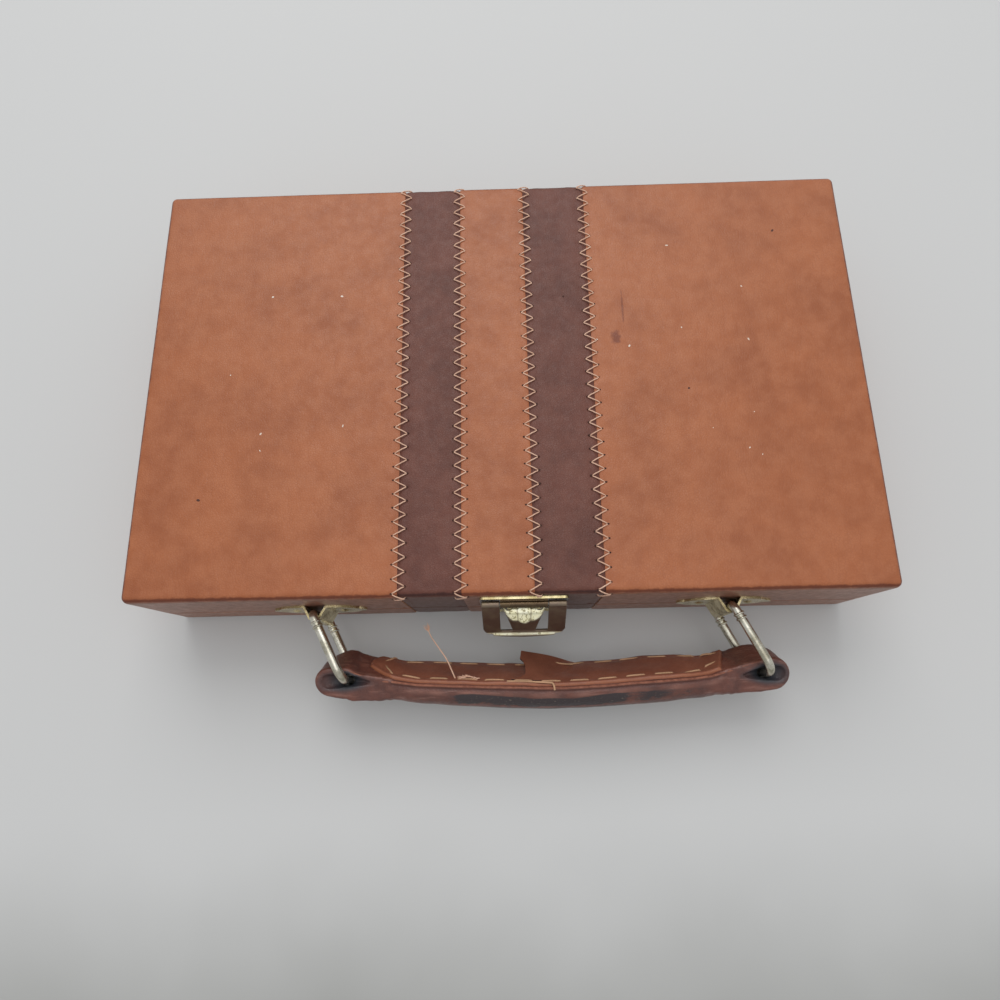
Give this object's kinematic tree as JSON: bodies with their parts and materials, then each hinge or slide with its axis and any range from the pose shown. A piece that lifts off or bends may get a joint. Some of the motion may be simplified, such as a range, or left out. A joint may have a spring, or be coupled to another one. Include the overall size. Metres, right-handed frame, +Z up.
{
  "type": "domino set case",
  "caption": "Shallow leather covered case with a hinged lid, a divided felt tray for tiles, a hasp latch and a strap handle on swinging rings.",
  "frame": {"origin": "centre of the flat underside, on the surface the case lies on", "axes": "+X to the right along the long side, +Y from the latch side to the hinge side, +Z up through the lid"},
  "size_m": [0.254, 0.1962, 0.047],
  "materials": {
    "tan_leather": "semi gloss, mottled tan",
    "brown_leather": "semi gloss, dark brown",
    "handle_leather": "worn, waxy red brown",
    "felt": "short pile felt",
    "plywood": "plain",
    "wood_board": "plain",
    "core_board": "pressed fibre",
    "brass_plate": "pale plated, tarnished",
    "ring_wire": "nickel plated, worn",
    "steel_pin": "plain"
  },
  "bodies": {
    "base": {"base_floor_panel": "plywood", "base_front_wall": "wood_board", "base_back_wall": "wood_board", "base_left_wall": "wood_board", "base_right_wall": "wood_board", "base_leather_left": "tan_leather", "base_stripe_left": "brown_leather", "base_leather_centre": "tan_leather", "base_stripe_right": "brown_leather", "base_leather_right": "tan_leather", "tray_floor_lining": "felt", "tray_frame": "felt", "divider_left": "felt", "divider_middle": "felt", "divider_right": "felt", "hinge_base_leaf_left": "brass_plate", "hinge_base_leaf_right": "brass_plate", "hinge_pin_left": "steel_pin", "hinge_pin_right": "steel_pin", "hinge_base_rivets": "brass_plate", "catch_plate": "brass_plate", "catch_rivets": "brass_plate"},
    "lid": {"lid_top_panel": "plywood", "lid_front_wall": "wood_board", "lid_back_wall": "wood_board", "lid_left_wall": "wood_board", "lid_right_wall": "wood_board", "lid_leather_left": "tan_leather", "lid_stripe_left": "brown_leather", "lid_leather_centre": "tan_leather", "lid_stripe_right": "brown_leather", "lid_leather_right": "tan_leather", "lid_side_lining": "felt", "lid_pad": "felt", "hinge_lid_leaf_left": "brass_plate", "hinge_lid_leaf_right": "brass_plate", "hinge_lid_rivets": "brass_plate", "handle_plate_left": "brass_plate", "handle_plate_right": "brass_plate", "handle_plate_rivets": "brass_plate", "latch_plate": "brass_plate", "latch_pin": "steel_pin", "latch_rivets": "brass_plate"},
    "hasp": {"latch_hasp": "brass_plate"},
    "left_ring": {"ring_left": "ring_wire"},
    "right_ring": {"ring_right": "ring_wire"},
    "handle": {"handle_cover": "handle_leather", "handle_core": "core_board", "handle_facing": "handle_leather"}
  },
  "joints": [
    {"name": "lid_hinge", "type": "hinge", "parent": "base", "child": "lid", "pos_m": [0, 0.0805, 0.0172], "axis": [-1, 0, 0], "range_deg": [0, 115]},
    {"name": "hasp_hinge", "type": "hinge", "parent": "lid", "child": "hasp", "pos_m": [0.0052, -0.0804, 0.041], "axis": [-1, 0, 0], "range_deg": [-25, 60]},
    {"name": "left_ring_swing", "type": "hinge", "parent": "lid", "child": "left_ring", "pos_m": [-0.067, -0.0813, 0.023], "axis": [0, 0, 1], "range_deg": [-80.5, 27.5]},
    {"name": "right_ring_swing", "type": "hinge", "parent": "lid", "child": "right_ring", "pos_m": [0.0758, -0.0813, 0.023], "axis": [0, 0, 1], "range_deg": [-80.5, 27.5]},
    {"name": "handle_swing", "type": "hinge", "parent": "left_ring", "child": "handle", "pos_m": [-0.05602, -0.10332, 0.023], "axis": [0, 0, 1], "range_deg": [-27.5, 80.5]}
  ],
  "couplings": [
    {"joint": "right_ring_swing", "follows": "left_ring_swing", "ratio": 1},
    {"joint": "handle_swing", "follows": "left_ring_swing", "ratio": -1}
  ]
}
